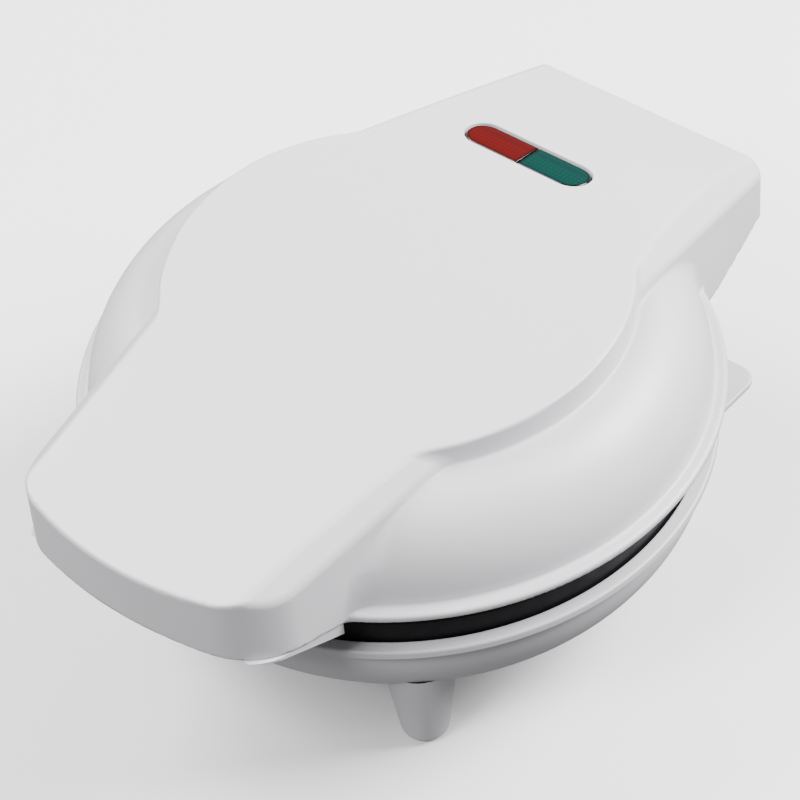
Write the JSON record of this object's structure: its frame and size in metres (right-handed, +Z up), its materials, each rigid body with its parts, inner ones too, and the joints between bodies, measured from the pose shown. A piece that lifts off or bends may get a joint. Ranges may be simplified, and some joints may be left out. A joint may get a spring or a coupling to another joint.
{
  "type": "donut maker",
  "caption": "Round clamshell donut maker with ring-well plates, domed hinged lid, front handle, twin indicator lens and tapered feet.",
  "frame": {"origin": "on the vertical axis of the round cooking plates, at table height under the feet, midway between the handle's front edge and the back of the hinge housing", "axes": "+Z up, +Y from the handle towards the hinge, X along the hinge rod"},
  "size_m": [0.196, 0.251, 0.1112],
  "materials": {
    "white_shell": "satin moulded white",
    "plate_coating": "non-stick coating on die-cast aluminium",
    "screw_steel": "zinc plated",
    "element_steel": "oxidised tube",
    "spring_steel": "bright strip",
    "shield_aluminium": "mill finish sheet",
    "red_lens": "transparent red",
    "green_lens": "transparent green",
    "lamp_glass": "clear",
    "rod_steel": "turned",
    "lamp_tray": "natural",
    "thermostat_body": "phenolic",
    "fuse_sleeve": "woven glass sleeve",
    "ceramic": "steatite",
    "gland_rubber": "white soft moulding"
  },
  "bodies": {
    "base": {"base_shell": "white_shell", "base_cover": "white_shell", "base_cover_screws": "screw_steel", "foot_front_left": "white_shell", "foot_front_right": "white_shell", "foot_rear_left": "white_shell", "foot_rear_right": "white_shell", "foot_screws": "screw_steel", "hinge_rod": "rod_steel", "lower_cooking_plate": "plate_coating", "lower_plate_screws": "screw_steel", "lower_heating_element": "element_steel", "lower_element_clamps": "spring_steel", "lower_clamp_screws": "screw_steel", "lower_heat_shield": "shield_aluminium", "thermostat": "thermostat_body", "terminal_block": "ceramic", "cord_gland": "gland_rubber"},
    "lid": {"lid_shell": "white_shell", "handle_cover": "white_shell", "handle_cover_screws": "screw_steel", "red_lens": "red_lens", "green_lens": "green_lens", "indicator_housing": "lamp_tray", "red_neon_lamp": "lamp_glass", "green_neon_lamp": "lamp_glass", "upper_cooking_plate": "plate_coating", "upper_plate_screws": "screw_steel", "upper_heating_element": "element_steel", "upper_element_clamps": "spring_steel", "upper_clamp_screws": "screw_steel", "upper_heat_shield": "shield_aluminium", "thermal_fuse": "fuse_sleeve", "fuse_clip": "spring_steel"}
  },
  "joints": [
    {"name": "lid_hinge", "type": "hinge", "parent": "base", "child": "lid", "pos_m": [0, 0.09991, 0.0712], "axis": [-1, 0, 0], "range_deg": [0, 95]}
  ]
}
